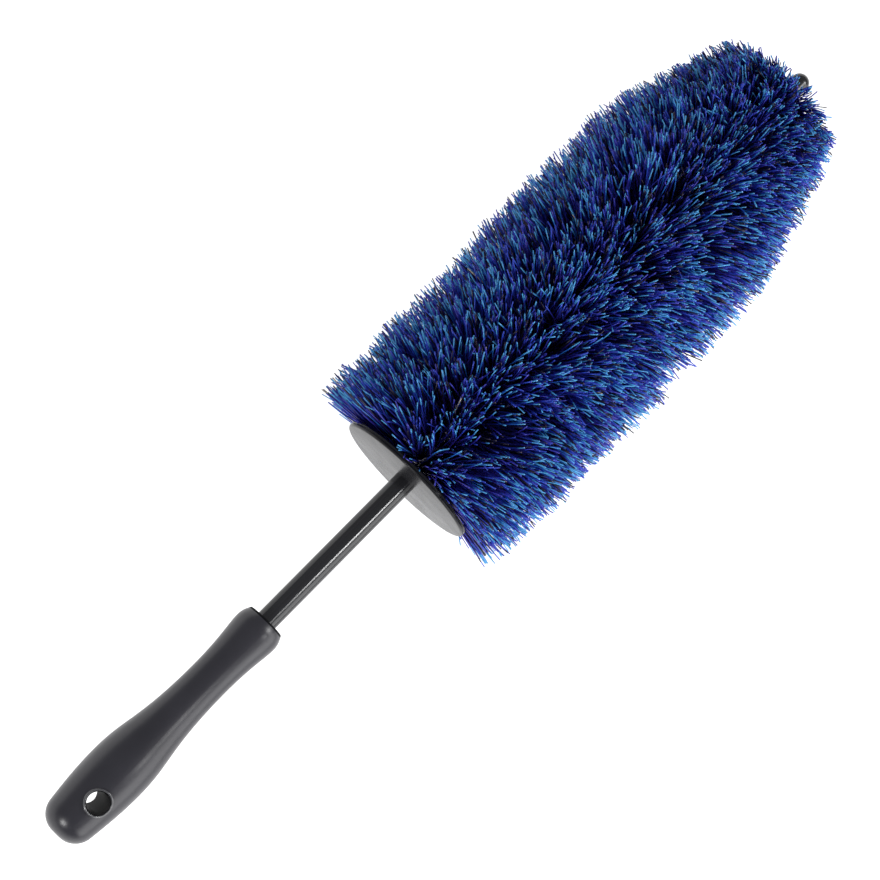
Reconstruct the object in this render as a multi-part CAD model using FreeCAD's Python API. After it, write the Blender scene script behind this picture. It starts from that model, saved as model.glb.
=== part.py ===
"""Wheel brush with a twisted-wire stem, a soft grip and a sliding splash guard.

All sizes are in millimetres. The brush lies on its bristles with its stem along X and its tip
towards +X. Z is up, and the surface that it lies on is z = 0. The origin is on that surface,
below the middle of the brush's length.

Lengthwise places are first given from the guard's handle-side face, and placed() then moves each
finished piece to the frame above.
"""

import FreeCAD
import Part
import math
import os

Vector = FreeCAD.Vector

# Overall places along the stem, from the guard's handle-side face
BUTT_X = -204.95           # end of the grip
GRIP_FRONT_X = -82.9       # face of the handle that the rod comes out of
TIP_X = 252.05             # end of the tip cap
AXIS_HEIGHT = 48.5         # stem axis above the surface, with the lowest bristles pressed flat
MIDDLE_X = (BUTT_X + TIP_X) / 2

# Grip
GRIP_FRONT_R = 8.7
GRIP_SIDE_POLES = [        # the side's smooth curve: distance behind the front face, radius
    (0.7, 9.1), (3.3, 10.6), (7.4, 10.9), (16, 9.6), (32, 8.5), (59, 9.6), (76, 13.4), (92, 13.7)]
GRIP_END_ROUND = 9.6       # rounding of the butt's edge
GRIP_END_TAPER = 7.0       # degrees that the side leans in where it meets that rounding
GRIP_END_FLAT_R = 2.0

# Rigid core inside the grip
FLANGE_THICK = 0.9
CORE_R = 7.2
CORE_REAR_X = -161.0
WEB_WIDTH = 11.0
WEB_THICK = 6.0
HOLE_X = -184.2
HOLE_R = 4.95
EYELET_WALL = 0.95
EYELET_PROUD = 0.3
EYELET_MOUTH = 0.5         # depth of the bevel at each mouth of the hanging hole

# Rod tube over the stem wires
TUBE_R = 4.85
TUBE_BORE_R = 3.2
TUBE_REAR_X = -124.0
TUBE_FRONT_X = 4.7
TUBE_GAP = 0.05            # radial, between the tube and the bores of the core and the guard

# Stem of two twisted wires
WIRE_R = 1.5
WIRE_PITCH = 14.8
WIRE_SPREAD = 1.52         # helix radius, at which the two wires just clear each other
WIRE_REAR_X = -151.0
WIRE_FRONT_X = 245.9
STEM_CLEAR_R = 3.06        # bore that the twisted pair passes through

# Hexagonal ferrule crimped on the rear of the stem
FERRULE_FLATS = 8.0
FERRULE_REAR_X = -149.0
FERRULE_FRONT_X = -135.0
FERRULE_GAP = 0.05

# Splash guard
GUARD_R = 33.1
GUARD_WEB = 1.9
GUARD_RIM = 2.7
GUARD_RIM_WIDTH = 1.6
GUARD_ROUND = 0.45
GUARD_HUB_R = 8.0
GUARD_HUB_CHAMFER = 0.6
GUARD_HUB_FRONT_X = 3.1

# Collar that stops the guard and closes the end of the tube
COLLAR_R = 7.2
COLLAR_REAR_X = 3.4
COLLAR_FRONT_X = 5.2
COLLAR_ROUND = 0.5

# Bristles: one fan for each half turn of the twisted wires
TURNS = 32
FIRST_ROOT_X = 7.4
ROOT_THICK = 3.4
RIM_THICK = 1.6
BASE_R = 52.0              # radius at the guard
SHOULDER_R = 51.2          # radius where the nose starts to narrow
SHOULDER_X = 177.0
LEAN = 11.0                # how far the rim of a middle fan stands in front of its root
FIRST_LEAN = -2.3
LAST_LEAN = 0.4
NOSE_END_X = 237.0
NOSE_END_R = 31.2          # radius of the last bristles

# Tip cap
CAP_R = 4.3
CAP_REAR_X = 240.6
CAP_BORE_R = 3.12
CAP_FLOOR_X = 247.0        # blind end of its bore


def placed(shape):
    """Moves a piece from guard-face coordinates to the part's frame."""
    moved = shape.copy()
    moved.translate(Vector(-MIDDLE_X, 0, AXIS_HEIGHT))
    return moved


def revolved(edges):
    """The solid that a closed outline in the X-Z half plane sweeps round the stem axis."""
    face = Part.Face(Part.Wire(edges))
    return face.revolve(Vector(0, 0, 0), Vector(1, 0, 0), 360)


def outline(points):
    """Straight edges through (x, radius) points, closed."""
    corners = [Vector(x, 0, r) for x, r in points]
    return Part.makePolygon(corners + corners[:1]).Edges


def drum(x_from, x_to, radius):
    """A cylinder along the stem axis."""
    return Part.makeCylinder(radius, x_to - x_from, Vector(x_from, 0, 0), Vector(1, 0, 0))


def ring_edges(shape, x, radius):
    """The circular edges of a turned piece at one place and radius."""
    return [e for e in shape.Edges
            if hasattr(e.Curve, "Radius") and abs(e.Curve.Radius - radius) < 0.01
            and abs(e.BoundBox.XMin - x) < 0.01 and abs(e.BoundBox.XMax - x) < 0.01]


def grip_body(proud=0.0):
    """The handle's outer form, a turned profile. proud makes it stouter."""
    round_x = BUTT_X + GRIP_END_ROUND
    taper = math.radians(GRIP_END_TAPER)

    def on_end_round(angle):
        """A point of the butt's rounding, from its side at 0 to its end at 90 degrees."""
        return Vector(round_x - (GRIP_END_ROUND + proud) * math.sin(angle), 0,
                      GRIP_END_FLAT_R + (GRIP_END_ROUND + proud) * math.cos(angle))

    heel = on_end_round(taper)
    before_heel = heel + Vector(math.cos(taper), 0, math.sin(taper)) * GRIP_END_ROUND
    end_corner = on_end_round(math.pi / 2)
    side_poles = [Vector(GRIP_FRONT_X - back, 0, r + proud) for back, r in GRIP_SIDE_POLES]
    side = Part.BSplineCurve()
    side.buildFromPoles(side_poles + [before_heel, heel], False, 3)
    front_centre = Vector(GRIP_FRONT_X, 0, 0)
    front_corner = Vector(GRIP_FRONT_X, 0, GRIP_FRONT_R + proud)
    butt_centre = Vector(end_corner.x, 0, 0)
    edges = [Part.makeLine(front_centre, front_corner),
             Part.makeLine(front_corner, side_poles[0]),
             side.toShape(),
             Part.Arc(heel, on_end_round((taper + math.pi / 2) / 2), end_corner).toShape(),
             Part.makeLine(end_corner, butt_centre),
             Part.makeLine(butt_centre, front_centre)]
    return revolved(edges)


def hexagon(x_from, x_to, flats):
    """A hexagonal bar along the stem axis."""
    corner_r = flats / math.sqrt(3)
    corners = [Vector(x_from, corner_r * math.cos(math.radians(60 * i)),
                      corner_r * math.sin(math.radians(60 * i))) for i in range(7)]
    return Part.Face(Part.makePolygon(corners)).extrude(Vector(x_to - x_from, 0, 0))


def eyelet_post(radius, half_length):
    """A cylinder across the handle on the hanging hole's axis."""
    return Part.makeCylinder(radius, 2 * half_length, Vector(HOLE_X, 0, -half_length))


def core_outside():
    """The core's outer form, with none of its bores."""
    flange_back_x = GRIP_FRONT_X - FLANGE_THICK
    flange = grip_body().common(drum(flange_back_x, GRIP_FRONT_X + 1, 2 * GRIP_FRONT_R))
    barrel = drum(CORE_REAR_X, flange_back_x, CORE_R)
    web = Part.makeBox(CORE_REAR_X - HOLE_X, WEB_WIDTH, WEB_THICK,
                       Vector(HOLE_X, -WEB_WIDTH / 2, -WEB_THICK / 2))
    eyelet = eyelet_post(HOLE_R + EYELET_WALL, 20).common(grip_body(EYELET_PROUD))
    return flange.fuse([barrel, web, eyelet]).removeSplitter()


def bevel_height():
    """Height above the axis at which the bevels of the hanging hole's mouths start."""
    hole_line = Part.makeLine(Vector(HOLE_X, 0, 0), Vector(HOLE_X, 0, 20))
    return grip_body(EYELET_PROUD).common(hole_line).BoundBox.ZMax - EYELET_MOUTH


def handle_core():
    """Rigid core: front flange, socket for the tube and the stem, web, and hanging eyelet."""
    socket = drum(TUBE_REAR_X, GRIP_FRONT_X, TUBE_R + TUBE_GAP)
    stem_way = drum(WIRE_REAR_X - 1, TUBE_REAR_X, STEM_CLEAR_R)
    ferrule_seat = hexagon(FERRULE_REAR_X - 0.5, TUBE_REAR_X, FERRULE_FLATS + 2 * FERRULE_GAP)
    core = core_outside().cut([socket, stem_way, ferrule_seat, eyelet_post(HOLE_R, 20)])
    for side in (1, -1):
        mouth = Part.makeCone(HOLE_R, HOLE_R + EYELET_MOUTH, EYELET_MOUTH,
                              Vector(HOLE_X, 0, side * bevel_height()), Vector(0, 0, side))
        core = core.cut(mouth)
    return core


def grip_shell():
    """Soft grip moulded over the core."""
    return grip_body().cut(core_outside())


def rod_tube():
    """Tube over the stem, from the core's socket to the first bristles."""
    return drum(TUBE_REAR_X, TUBE_FRONT_X, TUBE_R).cut(
        drum(TUBE_REAR_X - 1, TUBE_FRONT_X + 1, TUBE_BORE_R))


def stem_wire(start_angle):
    """One of the two wires of the stem: a round wire on a helix about the stem axis."""
    helix = Part.Wire(Part.makeHelix(WIRE_PITCH, WIRE_FRONT_X - WIRE_REAR_X, WIRE_SPREAD).Edges)
    along = Vector(0, 2 * math.pi * WIRE_SPREAD, WIRE_PITCH)
    section = Part.Wire(Part.makeCircle(WIRE_R, Vector(WIRE_SPREAD, 0, 0), along))
    wire = helix.makePipeShell([section], True, True)
    wire.rotate(Vector(0, 0, 0), Vector(0, 0, 1), start_angle)
    wire.rotate(Vector(0, 0, 0), Vector(0, 1, 0), 90)
    wire.translate(Vector(WIRE_REAR_X, 0, 0))
    return wire


def stem_ferrule():
    """Hexagonal ferrule crimped on the stem's rear, which stops it turning in the core."""
    return hexagon(FERRULE_REAR_X, FERRULE_FRONT_X, FERRULE_FLATS).cut(
        drum(FERRULE_REAR_X - 1, FERRULE_FRONT_X + 1, STEM_CLEAR_R))


def splash_guard():
    """Round guard that slides on the tube: flat behind, with a raised rim and hub in front."""
    bore = TUBE_R + TUBE_GAP
    guard = revolved(outline([
        (0, bore), (0, GUARD_R), (GUARD_RIM, GUARD_R), (GUARD_RIM, GUARD_R - GUARD_RIM_WIDTH),
        (GUARD_WEB, GUARD_R - 2 * GUARD_RIM_WIDTH),
        (GUARD_WEB, GUARD_HUB_R + GUARD_HUB_CHAMFER), (GUARD_WEB + GUARD_HUB_CHAMFER, GUARD_HUB_R),
        (GUARD_HUB_FRONT_X, GUARD_HUB_R), (GUARD_HUB_FRONT_X, bore)]))
    edges = ring_edges(guard, 0, GUARD_R) + ring_edges(guard, GUARD_RIM, GUARD_R)
    return guard.makeFillet(GUARD_ROUND, edges)


def root_collar():
    """Collar pressed on the tube's front end."""
    collar = drum(COLLAR_REAR_X, COLLAR_FRONT_X, COLLAR_R)
    collar = collar.makeFillet(COLLAR_ROUND, ring_edges(collar, COLLAR_FRONT_X, COLLAR_R))
    tube_seat = drum(COLLAR_REAR_X - 1, TUBE_FRONT_X, TUBE_R)
    return collar.cut([tube_seat, drum(TUBE_FRONT_X, COLLAR_FRONT_X + 1, STEM_CLEAR_R)])


def envelope_r(x):
    """Radius of the bristle tips at a place along the stem."""
    if x <= SHOULDER_X:
        return BASE_R + (SHOULDER_R - BASE_R) * x / SHOULDER_X
    share = (x - SHOULDER_X) / (NOSE_END_X - SHOULDER_X)
    return SHOULDER_R + (NOSE_END_R - SHOULDER_R) * share


def lean(root_x):
    """How far a fan's rim stands in front of its root: least at the guard and at the tip."""
    share = (root_x - FIRST_ROOT_X) / (WIRE_PITCH / 2 * (TURNS - 1))
    return LEAN - (LEAN - FIRST_LEAN) * math.exp(-16 * share) - (LEAN - LAST_LEAN) * share ** 10


def bristle_turn(root_x):
    """One fan of bristles, pressed flat where it rests."""
    rim_x = root_x + lean(root_x)
    rim_r = envelope_r(rim_x)
    fan = revolved(outline([
        (root_x - ROOT_THICK / 2, STEM_CLEAR_R), (rim_x - RIM_THICK / 2, rim_r),
        (rim_x + RIM_THICK / 2, rim_r), (root_x + ROOT_THICK / 2, STEM_CLEAR_R)]))
    reach = 2 * BASE_R
    below_surface = Part.makeBox(reach, 2 * reach, reach,
                                 Vector(root_x - reach / 2, -reach, -AXIS_HEIGHT - reach))
    return fan.cut(below_surface)


def tip_cap():
    """Blind cap with a round nose over the cut ends of the wires."""
    nose_centre_x = TIP_X - CAP_R
    body = drum(CAP_REAR_X, nose_centre_x, CAP_R)
    nose = Part.makeSphere(CAP_R, Vector(nose_centre_x, 0, 0))
    return body.fuse(nose).removeSplitter().cut(drum(CAP_REAR_X - 1, CAP_FLOOR_X, CAP_BORE_R))


def single_solid(name, shape):
    """The one solid that a finished piece consists of."""
    if len(shape.Solids) != 1:
        raise ValueError("%s has %d solids" % (name, len(shape.Solids)))
    return shape.Solids[0]


def build():
    pieces = {
        "grip_shell": grip_shell(),
        "handle_core": handle_core(),
        "stem_ferrule": stem_ferrule(),
        "stem_wire_a": stem_wire(0),
        "stem_wire_b": stem_wire(180),
        "rod_tube": rod_tube(),
        "splash_guard": splash_guard(),
        "root_collar": root_collar(),
        "tip_cap": tip_cap(),
    }
    for turn in range(TURNS):
        root_x = FIRST_ROOT_X + turn * WIRE_PITCH / 2
        pieces["bristle_turn_%02d" % (turn + 1)] = bristle_turn(root_x)
    os.makedirs("parts", exist_ok=True)
    for name, shape in pieces.items():
        solid = placed(single_solid(name, shape))
        solid.exportStep("parts/%s.step" % name)
        print("%-16s valid %s  volume %8.1f mm3" % (name, solid.isValid(), solid.Volume))


build()
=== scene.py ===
import bpy
import math
import numpy as np
from mathutils import Matrix, Vector


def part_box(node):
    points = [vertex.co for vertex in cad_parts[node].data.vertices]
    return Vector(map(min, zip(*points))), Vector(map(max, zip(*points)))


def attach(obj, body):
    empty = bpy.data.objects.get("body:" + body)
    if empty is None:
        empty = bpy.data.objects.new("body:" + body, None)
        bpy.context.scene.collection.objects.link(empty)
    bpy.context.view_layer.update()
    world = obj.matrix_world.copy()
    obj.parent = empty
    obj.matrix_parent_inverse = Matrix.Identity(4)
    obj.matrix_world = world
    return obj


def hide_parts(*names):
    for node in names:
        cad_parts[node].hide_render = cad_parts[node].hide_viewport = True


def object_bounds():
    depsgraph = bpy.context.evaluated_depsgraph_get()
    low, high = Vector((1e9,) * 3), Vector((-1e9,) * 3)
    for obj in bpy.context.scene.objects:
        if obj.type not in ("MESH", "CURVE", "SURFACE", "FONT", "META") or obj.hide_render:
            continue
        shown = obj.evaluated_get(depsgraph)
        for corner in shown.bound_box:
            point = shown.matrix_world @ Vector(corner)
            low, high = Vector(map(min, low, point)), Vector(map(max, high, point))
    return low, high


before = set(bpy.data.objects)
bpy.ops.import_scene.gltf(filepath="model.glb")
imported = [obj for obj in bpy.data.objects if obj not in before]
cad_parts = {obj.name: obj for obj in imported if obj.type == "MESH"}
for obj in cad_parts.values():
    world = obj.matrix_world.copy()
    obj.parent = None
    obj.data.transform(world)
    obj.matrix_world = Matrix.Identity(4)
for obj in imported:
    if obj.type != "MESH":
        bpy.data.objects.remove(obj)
cad_low, cad_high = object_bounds()
bpy.ops.object.select_all(action="DESELECT")


# Studio: a white table that glows, so that hardly a shadow shows on it. To the brush's right stand a
# broad panel, a narrow strip, a small spot and, out beyond the tip, a small panel. Another stands
# behind the butt. The room is dim. The camera looks down on the brush, handle at lower left.
guard_low, guard_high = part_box("splash_guard")
stem_height = (guard_low.z + guard_high.z) / 2

table_size = 8.0
bpy.ops.mesh.primitive_plane_add(size=table_size)
table_top = bpy.context.object
table_top.name = "table_top"
table_white = bpy.data.materials.new("table_white")
table_white.use_nodes = True
table_shader = table_white.node_tree.nodes["Principled BSDF"]
table_shader.inputs["Base Color"].default_value = (0.30, 0.30, 0.30, 1)
table_shader.inputs["Roughness"].default_value = 0.9
table_shader.inputs["Emission Color"].default_value = (1, 1, 1, 1)
table_shader.inputs["Emission Strength"].default_value = 1.0
table_top.data.materials.append(table_white)

view_tilt = math.asin(0.1766)       # the camera stands a little towards the handle
view_roll = math.radians(16.8)      # and a little to the brush's far side
view_turn = math.radians(45.25)     # the stem's slope in the view
view_distance = 1.2
aim_ahead_of_guard = 0.02325
aim_across = 0.0017
towards_camera = Vector((-math.sin(view_tilt),
                         math.cos(view_tilt) * math.sin(view_roll),
                         math.cos(view_tilt) * math.cos(view_roll)))
stem_in_view = (Vector((1, 0, 0)) - towards_camera * towards_camera.x).normalized()
across_in_view = towards_camera.cross(stem_in_view)
view_right = stem_in_view * math.cos(view_turn) - across_in_view * math.sin(view_turn)
view_up = stem_in_view * math.sin(view_turn) + across_in_view * math.cos(view_turn)
looked_at = Vector((guard_low.x + aim_ahead_of_guard, 0, stem_height)) + across_in_view * aim_across
bpy.ops.object.camera_add(location=looked_at + towards_camera * view_distance)
camera = bpy.context.object
camera.rotation_euler = Matrix((view_right, view_up, towards_camera)).transposed().to_euler()
camera.data.lens = 116.25
camera.data.clip_start = 0.05
bpy.context.scene.camera = camera
bpy.context.scene.view_settings.view_transform = "Standard"


def soft_light(name, direction, distance, width, height, glow):
    """A rectangular soft light aimed at the brush. glow is its brightness, whatever its size."""
    aim = Vector((0, 0, stem_height))
    bpy.ops.object.light_add(type="AREA", location=aim + direction.normalized() * distance)
    light = bpy.context.object
    light.name = name
    light.rotation_euler = direction.to_track_quat("Z", "Y").to_euler()
    light.data.shape = "RECTANGLE"
    light.data.size = width
    light.data.size_y = height
    light.data.energy = glow * math.pi * width * height


soft_light("right_panel", Vector((0, -0.90, 0.44)), distance=1.2, width=1.8, height=0.85, glow=3.0)
soft_light("right_strip", Vector((0, -0.49, 0.87)), distance=1.3, width=1.6, height=0.03, glow=5.0)
soft_light("right_spot", Vector((0.09, -0.47, 0.85)), distance=1.25, width=0.10, height=0.10, glow=50.0)
soft_light("butt_panel", Vector((-0.83, 0.27, 0.465)), distance=1.3, width=0.32, height=0.32, glow=18.0)
soft_light("tip_panel", Vector((0.62, -0.40, 0.68)), distance=1.3, width=0.4, height=0.4, glow=14.0)

room = bpy.data.worlds.new("room")
room.use_nodes = True
room.node_tree.nodes["Background"].inputs["Color"].default_value = (0.95, 0.97, 1.0, 1)
room.node_tree.nodes["Background"].inputs["Strength"].default_value = 0.36
bpy.context.scene.world = room


# Bristles: the stem's two wires grip a row of filaments in each half turn of their twist. The
# filaments are cut from extruded round fibre, most of it dyed blue and some of it black. They stand
# out all round, lean towards the tip, gather in tufts, and lie flat where the brush rests on them.
def dyed_fibre(name, colour, roughness, see_through):
    """Extruded fibre: dyed through, glossy, and more or less translucent."""
    fibre = bpy.data.materials.new(name)
    fibre.use_nodes = True
    shader = fibre.node_tree.nodes["Principled BSDF"]
    shader.inputs["Base Color"].default_value = (*colour, 1)
    shader.inputs["Roughness"].default_value = roughness
    shader.inputs["Transmission Weight"].default_value = see_through
    shader.inputs["IOR"].default_value = 1.49
    shader.inputs["Specular Tint"].default_value = (0.75, 0.62, 1.0, 1)
    return fibre


fibres = [
    dyed_fibre("fibre_black", (0.007, 0.006, 0.010), roughness=0.28, see_through=0.0),
    dyed_fibre("fibre_navy", (0.014, 0.011, 0.11), roughness=0.30, see_through=0.05),
    dyed_fibre("fibre_indigo", (0.034, 0.024, 0.28), roughness=0.26, see_through=0.08),
    dyed_fibre("fibre_royal", (0.038, 0.044, 0.44), roughness=0.28, see_through=0.12),
    dyed_fibre("fibre_blue", (0.036, 0.085, 0.64), roughness=0.28, see_through=0.18),
    dyed_fibre("fibre_azure", (0.035, 0.23, 0.80), roughness=0.30, see_through=0.22),
    dyed_fibre("fibre_sky_painted_light", (0.10, 0.47, 0.90), roughness=0.30, see_through=0.25),
    dyed_fibre("fibre_straw", (0.46, 0.42, 0.34), roughness=0.35, see_through=0.1),
]
# Each array below has one entry for each of the fibres above. Sky is only seen at cut ends, as painted
# light.
fibre_shares = np.array([0.20, 0.18, 0.25, 0.22, 0.11, 0.038, 0.0, 0.002])
painted_light_near_tip = np.array([0, 2, 3, 4, 5, 5, 6, 7])    # painted light: a lighter dye towards the cut end, for light let in
painted_light_at_tip = np.array([0, 3, 4, 6, 6, 6, 6, 7])

filament_r = 0.00030
filament_sides = 3
filament_steps = [0.0, 0.34, 0.60, 0.78, 0.90, 1.0]    # shares of its length, closer towards the tip
height_slack = 0.00001

bpy.ops.object.select_all(action="DESELECT")
bpy.ops.mesh.primitive_cylinder_add(vertices=filament_sides, radius=1.0,
                                    depth=filament_steps[1], end_fill_type="NGON",
                                    location=(0, 0, filament_steps[1] / 2))
filament = bpy.context.object
bpy.ops.object.transform_apply(location=True)
for reached, wanted in zip(filament_steps[1:], filament_steps[2:]):
    bpy.ops.object.mode_set(mode="EDIT")
    bpy.ops.mesh.select_all(action="DESELECT")
    bpy.ops.object.mode_set(mode="OBJECT")
    for face in filament.data.polygons:
        face.select = abs(face.center.z - reached) < height_slack and abs(face.normal.z) > 0.9
    bpy.ops.object.mode_set(mode="EDIT")
    bpy.ops.mesh.select_mode(type="FACE")
    bpy.ops.mesh.extrude_region_move(TRANSFORM_OT_translate={"value": (0, 0, wanted - reached)})
    bpy.ops.object.mode_set(mode="OBJECT")
filament_points = np.array([v.co for v in filament.data.vertices])
filament_corners = np.array([i for face in filament.data.polygons for i in face.vertices])
filament_face_sizes = np.array([len(face.vertices) for face in filament.data.polygons])
filament_face_smooth = np.array([abs(face.normal.z) < 0.5 for face in filament.data.polygons])
filament_face_place = np.array([face.center.z for face in filament.data.polygons])
bpy.data.objects.remove(filament)

turn_nodes = sorted(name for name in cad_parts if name.startswith("bristle_turn_"))
turn_pitch = 0.0074        # half the pitch of the stem's twist
first_root_gap = 0.0074    # from the guard's back face
rim_band = 0.0002          # corners this close to a turn's greatest radius are its rim
root_shift = 0.45          # the filaments lean less than their turn does, by this share
first_root_x = guard_low.x + first_root_gap
wire_x = first_root_x + turn_pitch * np.arange(len(turn_nodes))
rim_x = []
rim_r = []
for name in turn_nodes:
    corner = np.array([v.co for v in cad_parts[name].data.vertices])
    radius = np.hypot(corner[:, 1], corner[:, 2] - stem_height)
    rim = corner[radius > radius.max() - rim_band]
    rim_x.append(rim[:, 0].mean())
    rim_r.append(radius.max())
root_x = wire_x + root_shift * (np.array(rim_x) - wire_x)

filaments_per_turn = 780
wire_grip_r = 0.0014       # where the filaments leave the wires
wisps_per_turn = 90        # a few filaments that lie together for their whole length
stray_share = 0.16         # filaments that have left their tuft
tuft_size = 0.0100         # spacing of the tufts that the tips gather in
tufts_long = 34
tufts_round = 32
tuft_inset = 0.1           # a tuft's middle keeps this far inside its own square
strongest_pull = 0.55
reach_spread = 0.0012      # how much longer or shorter a whole tuft is cut
tuft_seed = 77
tuft_chance = np.random.default_rng(tuft_seed)
tuft_place_x = tuft_chance.uniform(tuft_inset, 1 - tuft_inset, (tufts_long, tufts_round))
tuft_place_round = tuft_chance.uniform(tuft_inset, 1 - tuft_inset, (tufts_long, tufts_round))
tuft_pull = tuft_chance.uniform(0.0, strongest_pull, (tufts_long, tufts_round))
tuft_reach = tuft_chance.normal(0, reach_spread, (tufts_long, tufts_round))

# Standard deviations: moved is along the stem, turned is round it in radians
wisp_moved = 0.0045
wisp_turned = 0.60
root_moved = 0.12          # in half turns of the wires
root_turned = 0.085
tip_moved = 0.0030
tip_turned = 0.07
stray_moved = 0.0060
stray_turned = 0.12
cut_short = 0.0056         # only ever shorter than the longest filaments
bow_depth = 0.0020         # four times what shows at the middle of a filament
wave_depth = 0.0002

# Where the tips may be, and how far out they reach
tip_behind_hub = 0.0030        # the first tips stand beside the guard's rim, behind its hub's front
stray_behind_tips = 0.0018
lowest_ahead = 0.009           # the first tips at the very bottom stand this much further forward
tip_past_last_rim = 0.001
stray_past_tips = 0.006
nose_slope = 3.0               # how fast strays shorten past the last rim
longest_over_rim = 0.0018
bend_at_guard = 0.0010         # the head bends to its left: it is this far to the right at the guard
bend_gain = 0.0035             # and moves this far to the left from there to the last rim
narrower_at_guard = 0.0016
narrower_fades = 6             # powers of e, over the head's length
pressed_from = 0.0022          # height below which a filament flattens on the table
pressed_to = 0.0004            # height that the flattest ones come near


def filament_ends(turn, chance):
    """Roots and tips of one half turn's filaments, as arrays with one row for each."""
    count = filaments_per_turn
    wisp_of = chance.integers(0, wisps_per_turn, count)
    wisp_turn = turn + chance.uniform(-0.5, 0.5, wisps_per_turn)
    wisp_blade = chance.integers(0, 2, wisps_per_turn)
    wisp_angle = math.pi * (wisp_turn + wisp_blade) + chance.normal(0, wisp_turned, wisps_per_turn)
    wisp_push = chance.normal(0, wisp_moved, wisps_per_turn)

    index = wisp_turn[wisp_of] + chance.normal(0, root_moved, count)
    angle = wisp_angle[wisp_of] + chance.normal(0, root_turned, count)
    places = np.arange(len(turn_nodes))
    start_x = np.interp(index, places, root_x)
    end_x = np.interp(index, places, rim_x) + wisp_push[wisp_of] + chance.normal(0, tip_moved, count)
    end_angle = angle + chance.normal(0, tip_turned, count)

    long_place = (end_x - first_root_x + tuft_size) / tuft_size
    tuft_row = np.clip(long_place.astype(int), 0, tufts_long - 1)
    round_place = (end_angle / (2 * math.pi) + 0.5 * (tuft_row % 2) / tufts_round) % 1 * tufts_round
    tuft_column = np.clip(round_place.astype(int), 0, tufts_round - 1)
    pull = tuft_pull[tuft_row, tuft_column]
    tuft_x = tuft_row + tuft_place_x[tuft_row, tuft_column]
    tuft_turned = tuft_column + tuft_place_round[tuft_row, tuft_column]
    end_x += pull * (tuft_x - long_place) * tuft_size
    end_angle += pull * (tuft_turned - round_place) * 2 * math.pi / tufts_round

    stray = chance.random(count) < stray_share
    end_x += np.where(stray, chance.normal(0, stray_moved, count), 0)
    end_angle += np.where(stray, chance.normal(0, stray_turned, count), 0)
    ahead = lowest_ahead * np.maximum(-np.sin(end_angle), 0)
    least_x = guard_high.x - tip_behind_hub + ahead - stray_behind_tips * stray
    most_x = rim_x[-1] + tip_past_last_rim + stray_past_tips * stray
    end_x = least_x + np.abs(end_x - least_x)
    end_x = most_x - np.abs(end_x - most_x)
    past_last = np.maximum(end_x - rim_x[-1] - tip_past_last_rim, 0)
    end_r = np.interp(end_x, rim_x, rim_r) - nose_slope * past_last
    shortfall = np.abs(chance.normal(0, cut_short, count))
    end_r += tuft_reach[tuft_row, tuft_column] + longest_over_rim - shortfall
    place = (end_x - first_root_x) / (rim_x[-1] - first_root_x)
    end_r += (bend_gain * place - bend_at_guard) * np.cos(end_angle)
    end_r -= narrower_at_guard * np.exp(-narrower_fades * place)
    return start_x, end_x, end_r, angle, end_angle


first_turn_seed = 4100
bend_power = 1.5           # a filament leaves the wires straight and bends more towards its tip
wave_radians = 11          # of crimp along a filament
slip_ahead = 0.5           # pressed filaments slip towards the tip, and sideways
spread_out = 0.25
small_step = 0.02          # a filament's direction is taken this share of its length to each side
thinnest = 0.8
thickest = 1.15


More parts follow.
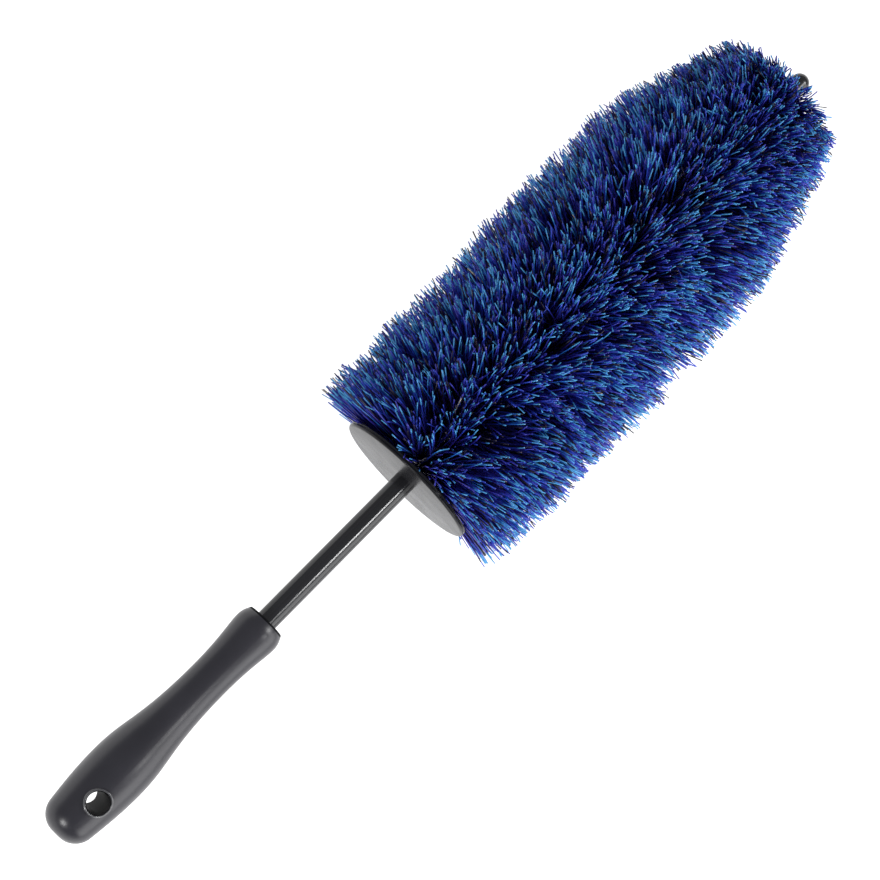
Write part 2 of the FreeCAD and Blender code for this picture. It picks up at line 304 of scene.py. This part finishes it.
def bristle_mesh(turn):
    """The mesh of one half turn: a copy of the modelled filament along each filament's own bend."""
    chance = np.random.default_rng(first_turn_seed + turn)
    start_x, end_x, end_r, start_angle, end_angle = filament_ends(turn, chance)
    count = len(start_x)
    bow = chance.normal(0, bow_depth, count)[:, None]
    nod = chance.normal(0, bow_depth, count)[:, None]
    wave = chance.normal(0, wave_depth, count)[:, None]
    wave_start = chance.uniform(0, 2 * math.pi, count)[:, None]

    def centre_line(share):
        """Points along every filament, at a share of its length from the wires."""
        share = np.broadcast_to(share, (count, share.shape[1]))
        bend = share ** bend_power
        out = wire_grip_r + (end_r - wire_grip_r)[:, None] * share
        angle = start_angle[:, None] + (end_angle - start_angle)[:, None] * bend
        sway = bow * share * (1 - share) + wave * share * np.sin(wave_radians * share + wave_start)
        x = start_x[:, None] + (end_x - start_x)[:, None] * bend + nod * share * (1 - share)
        y = out * np.cos(angle) - sway * np.sin(angle)
        z = out * np.sin(angle) + sway * np.cos(angle) + stem_height
        flattened = pressed_from - pressed_to
        sunk = np.minimum(z - pressed_from, 0)
        pressed = np.where(z < pressed_from, pressed_to + flattened * np.exp(sunk / flattened), z)
        raised = pressed - z
        return np.stack([x + slip_ahead * raised, y * (1 + spread_out * raised / rim_r[0]), pressed],
                        axis=-1)

    step = filament_points[:, 2][None, :]
    here = centre_line(step)
    ahead = (centre_line(np.minimum(step + small_step, 1 + small_step))
             - centre_line(np.maximum(step - small_step, 0)))
    ahead /= np.linalg.norm(ahead, axis=-1, keepdims=True)
    face_side = np.cross(ahead, np.array([1.0, 0.0, 0.0]))
    face_side /= np.linalg.norm(face_side, axis=-1, keepdims=True)
    face_up = np.cross(ahead, face_side)
    spin = chance.uniform(0, 2 * math.pi, count)[:, None, None]
    thick = filament_r * chance.uniform(thinnest, thickest, count)[:, None, None]
    local_x = filament_points[:, 0][None, :, None]
    local_y = filament_points[:, 1][None, :, None]
    surface = here + thick * (local_x * (face_side * np.cos(spin) + face_up * np.sin(spin))
                              + local_y * (face_up * np.cos(spin) - face_side * np.sin(spin)))

    mesh = bpy.data.meshes.new("bristles")
    corners = (filament_corners[None, :] + len(filament_points) * np.arange(count)[:, None]).ravel()
    sizes = np.tile(filament_face_sizes, count)
    mesh.vertices.add(count * len(filament_points))
    mesh.vertices.foreach_set("co", surface.ravel())
    mesh.loops.add(len(corners))
    mesh.loops.foreach_set("vertex_index", corners)
    mesh.polygons.add(len(sizes))
    mesh.polygons.foreach_set("loop_start", np.cumsum(sizes) - sizes)
    mesh.polygons.foreach_set("use_smooth", np.tile(filament_face_smooth, count))
    dye = chance.choice(len(fibres), count, p=fibre_shares / fibre_shares.sum())
    near_tip = filament_face_place[None, :] > filament_steps[-3]
    at_tip = filament_face_place[None, :] > filament_steps[-2]
    # Painted light: faces near and at a filament's tip take a lighter dye than the rest of it.
    face_dye_and_painted_light = np.where(near_tip, painted_light_near_tip[dye][:, None], dye[:, None])
    face_dye_and_painted_light = np.where(at_tip, painted_light_at_tip[dye][:, None], face_dye_and_painted_light)
    mesh.polygons.foreach_set("material_index", face_dye_and_painted_light.ravel())
    for fibre in fibres:
        mesh.materials.append(fibre)
    mesh.update(calc_edges=True)
    mesh.validate()
    return mesh


for turn, node in enumerate(turn_nodes):
    bristles = bpy.data.objects.new(node.replace("turn", "row"), bristle_mesh(turn))
    bpy.context.collection.objects.link(bristles)
    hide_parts(node)
    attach(bristles, "brush")


# Stem: two galvanised steel wires, twisted together round the bristles. They run from inside the
# handle to the tip, and the rod tube hides them up to the guard.
def surface_nodes(name, scale):
    """A new material, and the piece's own coordinates stretched by scale."""
    finish = bpy.data.materials.new(name)
    finish.use_nodes = True
    nodes = finish.node_tree.nodes
    place = nodes.new("ShaderNodeTexCoord")
    stretch = nodes.new("ShaderNodeMapping")
    stretch.inputs["Scale"].default_value = scale
    finish.node_tree.links.new(place.outputs["Object"], stretch.inputs["Vector"])
    return finish, nodes, finish.node_tree.links, stretch.outputs["Vector"]


def noise(nodes, links, vector, scale, detail):
    """One fractal noise, as a number between 0 and 1."""
    pattern = nodes.new("ShaderNodeTexNoise")
    pattern.inputs["Scale"].default_value = scale
    pattern.inputs["Detail"].default_value = detail
    links.new(vector, pattern.inputs["Vector"])
    return pattern.outputs["Fac"]


noise_low = 0.3            # the middle range of a noise, where most of its values lie
noise_high = 0.7


def between(nodes, links, pattern, low, high):
    """The pattern's middle range, spread out from low to high."""
    spread = nodes.new("ShaderNodeMapRange")
    spread.inputs["From Min"].default_value = noise_low
    spread.inputs["From Max"].default_value = noise_high
    spread.inputs["To Min"].default_value = low
    spread.inputs["To Max"].default_value = high
    links.new(pattern, spread.inputs["Value"])
    return spread.outputs["Result"]


def two_tone(nodes, links, pattern, dark, light):
    """A colour that the pattern varies from dark to light."""
    ramp = nodes.new("ShaderNodeValToRGB")
    ramp.color_ramp.elements[0].position = noise_low
    ramp.color_ramp.elements[0].color = (*dark, 1)
    ramp.color_ramp.elements[1].position = noise_high
    ramp.color_ramp.elements[1].color = (*light, 1)
    links.new(pattern, ramp.inputs["Fac"])
    return ramp.outputs["Color"]


grain_strength = 0.4


def grained(nodes, links, pattern, depth):
    """Surface relief that follows the pattern, depth in metres."""
    relief = nodes.new("ShaderNodeBump")
    relief.inputs["Strength"].default_value = grain_strength
    relief.inputs["Distance"].default_value = depth
    links.new(pattern, relief.inputs["Height"])
    return relief.outputs["Normal"]


def finish_of(name, stretch, colour_scale, dark, light, grain_scale, grain_depth, rough_low, rough_high,
              metallic=0.0):
    """A moulded, drawn or plated surface: two-tone colour, grain and uneven gloss from noise."""
    finish, nodes, links, vector = surface_nodes(name, stretch)
    shader = nodes["Principled BSDF"]
    broad = noise(nodes, links, vector, colour_scale, detail=4.0)
    fine = noise(nodes, links, vector, grain_scale, detail=3.0)
    links.new(two_tone(nodes, links, broad, dark, light), shader.inputs["Base Color"])
    links.new(between(nodes, links, fine, rough_low, rough_high), shader.inputs["Roughness"])
    links.new(grained(nodes, links, fine, grain_depth), shader.inputs["Normal"])
    shader.inputs["Metallic"].default_value = metallic
    return finish


stem_steel = finish_of("stem_steel", stretch=(1, 1, 1), colour_scale=90, dark=(0.34, 0.35, 0.37),
                       light=(0.62, 0.63, 0.65), grain_scale=700, grain_depth=0.00002, rough_low=0.28,
                       rough_high=0.42, metallic=1.0)
for node in ("stem_wire_a", "stem_wire_b"):
    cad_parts[node].material_slots[0].material = stem_steel


# Ferrule: a hexagonal steel sleeve, zinc plated and crimped on the rear of the stem. It seats in the
# core and keeps the stem from turning there.
ferrule_steel = finish_of("ferrule_steel", stretch=(1, 1, 1), colour_scale=260, dark=(0.50, 0.50, 0.52),
                          light=(0.68, 0.68, 0.67), grain_scale=1400, grain_depth=0.00001, rough_low=0.22,
                          rough_high=0.34, metallic=1.0)
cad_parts["stem_ferrule"].material_slots[0].material = ferrule_steel


# Rod: a black plastic tube, extruded and cut to length, that sleeves the stem between the handle and
# the head. Its surface keeps the faint lengthwise lines of the die.
rod_plastic = finish_of("rod_plastic", stretch=(0.02, 1, 1), colour_scale=500, dark=(0.011, 0.011, 0.013),
                        light=(0.016, 0.016, 0.019), grain_scale=1500, grain_depth=0.0000005,
                        rough_low=0.14, rough_high=0.18)
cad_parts["rod_tube"].material_slots[0].material = rod_plastic


# Collar: a satin black plastic ring, moulded and pressed on the front end of the rod. It closes the
# tube round the stem, and the guard stops against it.
collar_plastic = finish_of("collar_plastic", stretch=(1, 1, 1), colour_scale=120,
                           dark=(0.012, 0.012, 0.014), light=(0.020, 0.020, 0.022), grain_scale=1800,
                           grain_depth=0.00001, rough_low=0.32, rough_high=0.42)
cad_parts["root_collar"].material_slots[0].material = collar_plastic


# Splash guard: a round disc moulded in polished black plastic, with a beaded rim and a short hub in
# front. Its bore grips the rod just enough to stay where it is pushed.
def ring_turned(name, profile, sides):
    """A closed ring round the stem axis, from its outline's (x, radius) points, extruded in turn."""
    bpy.ops.object.select_all(action="DESELECT")
    first_x, first_r = profile[0]
    bpy.ops.mesh.primitive_circle_add(vertices=sides, radius=first_r, fill_type="NOTHING",
                                      location=(first_x, 0, stem_height), rotation=(0, math.pi / 2, 0))
    ring = bpy.context.object
    ring.name = name
    bpy.ops.object.transform_apply(location=True, rotation=True)
    bpy.ops.object.mode_set(mode="EDIT")
    bpy.ops.mesh.select_all(action="SELECT")
    for (from_x, from_r), (to_x, to_r) in zip(profile, profile[1:] + profile[:1]):
        bpy.ops.mesh.extrude_edges_move(TRANSFORM_OT_translate={"value": (to_x - from_x, 0, 0)})
        bpy.ops.transform.resize(value=(1, to_r / from_r, to_r / from_r),
                                 center_override=(to_x, 0, stem_height))
    bpy.ops.mesh.select_all(action="SELECT")
    bpy.ops.mesh.remove_doubles(threshold=1e-6)
    bpy.ops.mesh.normals_make_consistent(inside=False)
    bpy.ops.object.mode_set(mode="OBJECT")
    bpy.ops.object.shade_smooth_by_angle(angle=math.radians(40))
    return ring


guard_r = (guard_high.z - guard_low.z) / 2
guard_bore_r = 0.0049
guard_sides = 192
# The outline's points: distance in front of the back face, radius
guard_profile = [(0, guard_bore_r), (0, guard_r - 0.0012), (0.0001, guard_r - 0.0005),
                 (0.0003, guard_r - 0.0002), (0.0006, guard_r), (0.0010, guard_r),
                 (0.0013, guard_r - 0.00035), (0.0016, guard_r - 0.00035),
                 (0.0019, guard_r), (0.0022, guard_r),
                 (0.0025, guard_r - 0.0002), (0.0027, guard_r - 0.0006), (0.0027, guard_r - 0.0014),
                 (0.0026, guard_r - 0.0018), (0.0020, guard_r - 0.0030), (0.0019, guard_r - 0.0034),
                 (0.0019, 0.0088), (0.0020, 0.0084), (0.0023, 0.0081), (0.0028, 0.0080),
                 (0.0031, 0.0077), (0.0031, guard_bore_r)]
guard_outline = [(guard_low.x + x, r) for x, r in guard_profile]
guard_disc = ring_turned("guard_disc", guard_outline, guard_sides)
guard_plastic = finish_of("guard_plastic", stretch=(1, 0.6, 1), colour_scale=60,
                          dark=(0.012, 0.012, 0.014), light=(0.018, 0.018, 0.020), grain_scale=130,
                          grain_depth=0.00001, rough_low=0.22, rough_high=0.28)
guard_plastic.node_tree.nodes["Principled BSDF"].inputs["Specular IOR Level"].default_value = 0.15
guard_disc.data.materials.append(guard_plastic)
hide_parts("splash_guard")
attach(guard_disc, "guard")


# Handle core: a rigid black plastic moulding inside the grip, which holds the rod and the stem. It
# comes to the surface at the front flange and as the ring and lining of the hanging hole.
core_plastic = finish_of("core_plastic", stretch=(1, 1, 1), colour_scale=70, dark=(0.004, 0.004, 0.005),
                         light=(0.008, 0.008, 0.009), grain_scale=2200, grain_depth=0.00001,
                         rough_low=0.55, rough_high=0.65)
core_plastic.node_tree.nodes["Principled BSDF"].inputs["Specular IOR Level"].default_value = 0.06
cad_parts["handle_core"].material_slots[0].material = core_plastic


# Grip: dark grey soft-touch rubber moulded over the core. Its skin has a soft sheen, and a fine even
# grain from the mould.
grip_rubber = finish_of("grip_rubber", stretch=(1, 1, 1), colour_scale=45, dark=(0.017, 0.016, 0.022),
                        light=(0.023, 0.022, 0.029), grain_scale=3200, grain_depth=0.00003,
                        rough_low=0.29, rough_high=0.35)
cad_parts["grip_shell"].material_slots[0].material = grip_rubber


# Hole beads: the core's ring ends in a thin rounded lip round both mouths of the hanging hole. The
# lip follows the curve of the grip, stands a little proud of it, and has worn glossy; its colour is a
# painted highlight.
hole_from_butt = 0.02075
hole_x = cad_low.x + hole_from_butt
core_ring_r = 0.0059
edge_slack = 0.0001
upper_mouth_height = 0.010     # above the stem: only the ring's edge round the upper mouth is higher
bead_r = 0.00575
bead_thickness = 0.0009
core_point = np.array([v.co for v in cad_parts["handle_core"].data.vertices])
from_hole = np.hypot(core_point[:, 0] - hole_x, core_point[:, 1])
on_edge = np.abs(from_hole - core_ring_r) < edge_slack
ring_point = core_point[on_edge & (core_point[:, 2] > stem_height + upper_mouth_height)]
ring_girth = np.hypot(ring_point[:, 1], ring_point[:, 2] - stem_height)
girth_slope, girth_at_hole = np.polyfit(ring_point[:, 0] - hole_x, ring_girth, 1)
# Painted highlight: the beads are coloured much lighter than the core's black, to show a bright ring
# round the hole.
bead_plastic_painted_highlight = finish_of("bead_plastic_painted_highlight", stretch=(1, 1, 1), colour_scale=300, dark=(0.050, 0.050, 0.056),
                         light=(0.070, 0.070, 0.076), grain_scale=2500, grain_depth=0.000003,
                         rough_low=0.10, rough_high=0.16)
bead_plastic_painted_highlight.node_tree.nodes["Principled BSDF"].inputs["Specular IOR Level"].default_value = 0.9
for bead_name, side in (("hole_bead_upper", 1), ("hole_bead_lower", -1)):
    bpy.ops.object.select_all(action="DESELECT")
    bpy.ops.mesh.primitive_torus_add(major_segments=96, minor_segments=12, major_radius=bead_r,
                                     minor_radius=bead_thickness / 2, location=(hole_x, 0, 0))
    hole_bead = bpy.context.object
    hole_bead.name = bead_name
    bpy.ops.object.transform_apply(location=True)
    for vertex in hole_bead.data.vertices:
        girth = girth_at_hole + girth_slope * (vertex.co.x - hole_x)
        saddle = math.sqrt(girth ** 2 - vertex.co.y ** 2)
        vertex.co.z = stem_height + side * (saddle + vertex.co.z)
    bpy.ops.object.mode_set(mode="EDIT")
    bpy.ops.mesh.select_all(action="SELECT")
    bpy.ops.mesh.normals_make_consistent(inside=False)
    bpy.ops.object.mode_set(mode="OBJECT")
    bpy.ops.object.shade_smooth()
    hole_bead.data.materials.append(bead_plastic_painted_highlight)
    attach(hole_bead, "brush")


# Tip cap: a small glossy black plastic cap with a rounded end. It is pushed over the cut ends of the
# stem wires.
cap_plastic = finish_of("cap_plastic", stretch=(1, 1, 1), colour_scale=200, dark=(0.008, 0.008, 0.010),
                        light=(0.014, 0.014, 0.016), grain_scale=1500, grain_depth=0.00001,
                        rough_low=0.18, rough_high=0.28)
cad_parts["tip_cap"].material_slots[0].material = cap_plastic
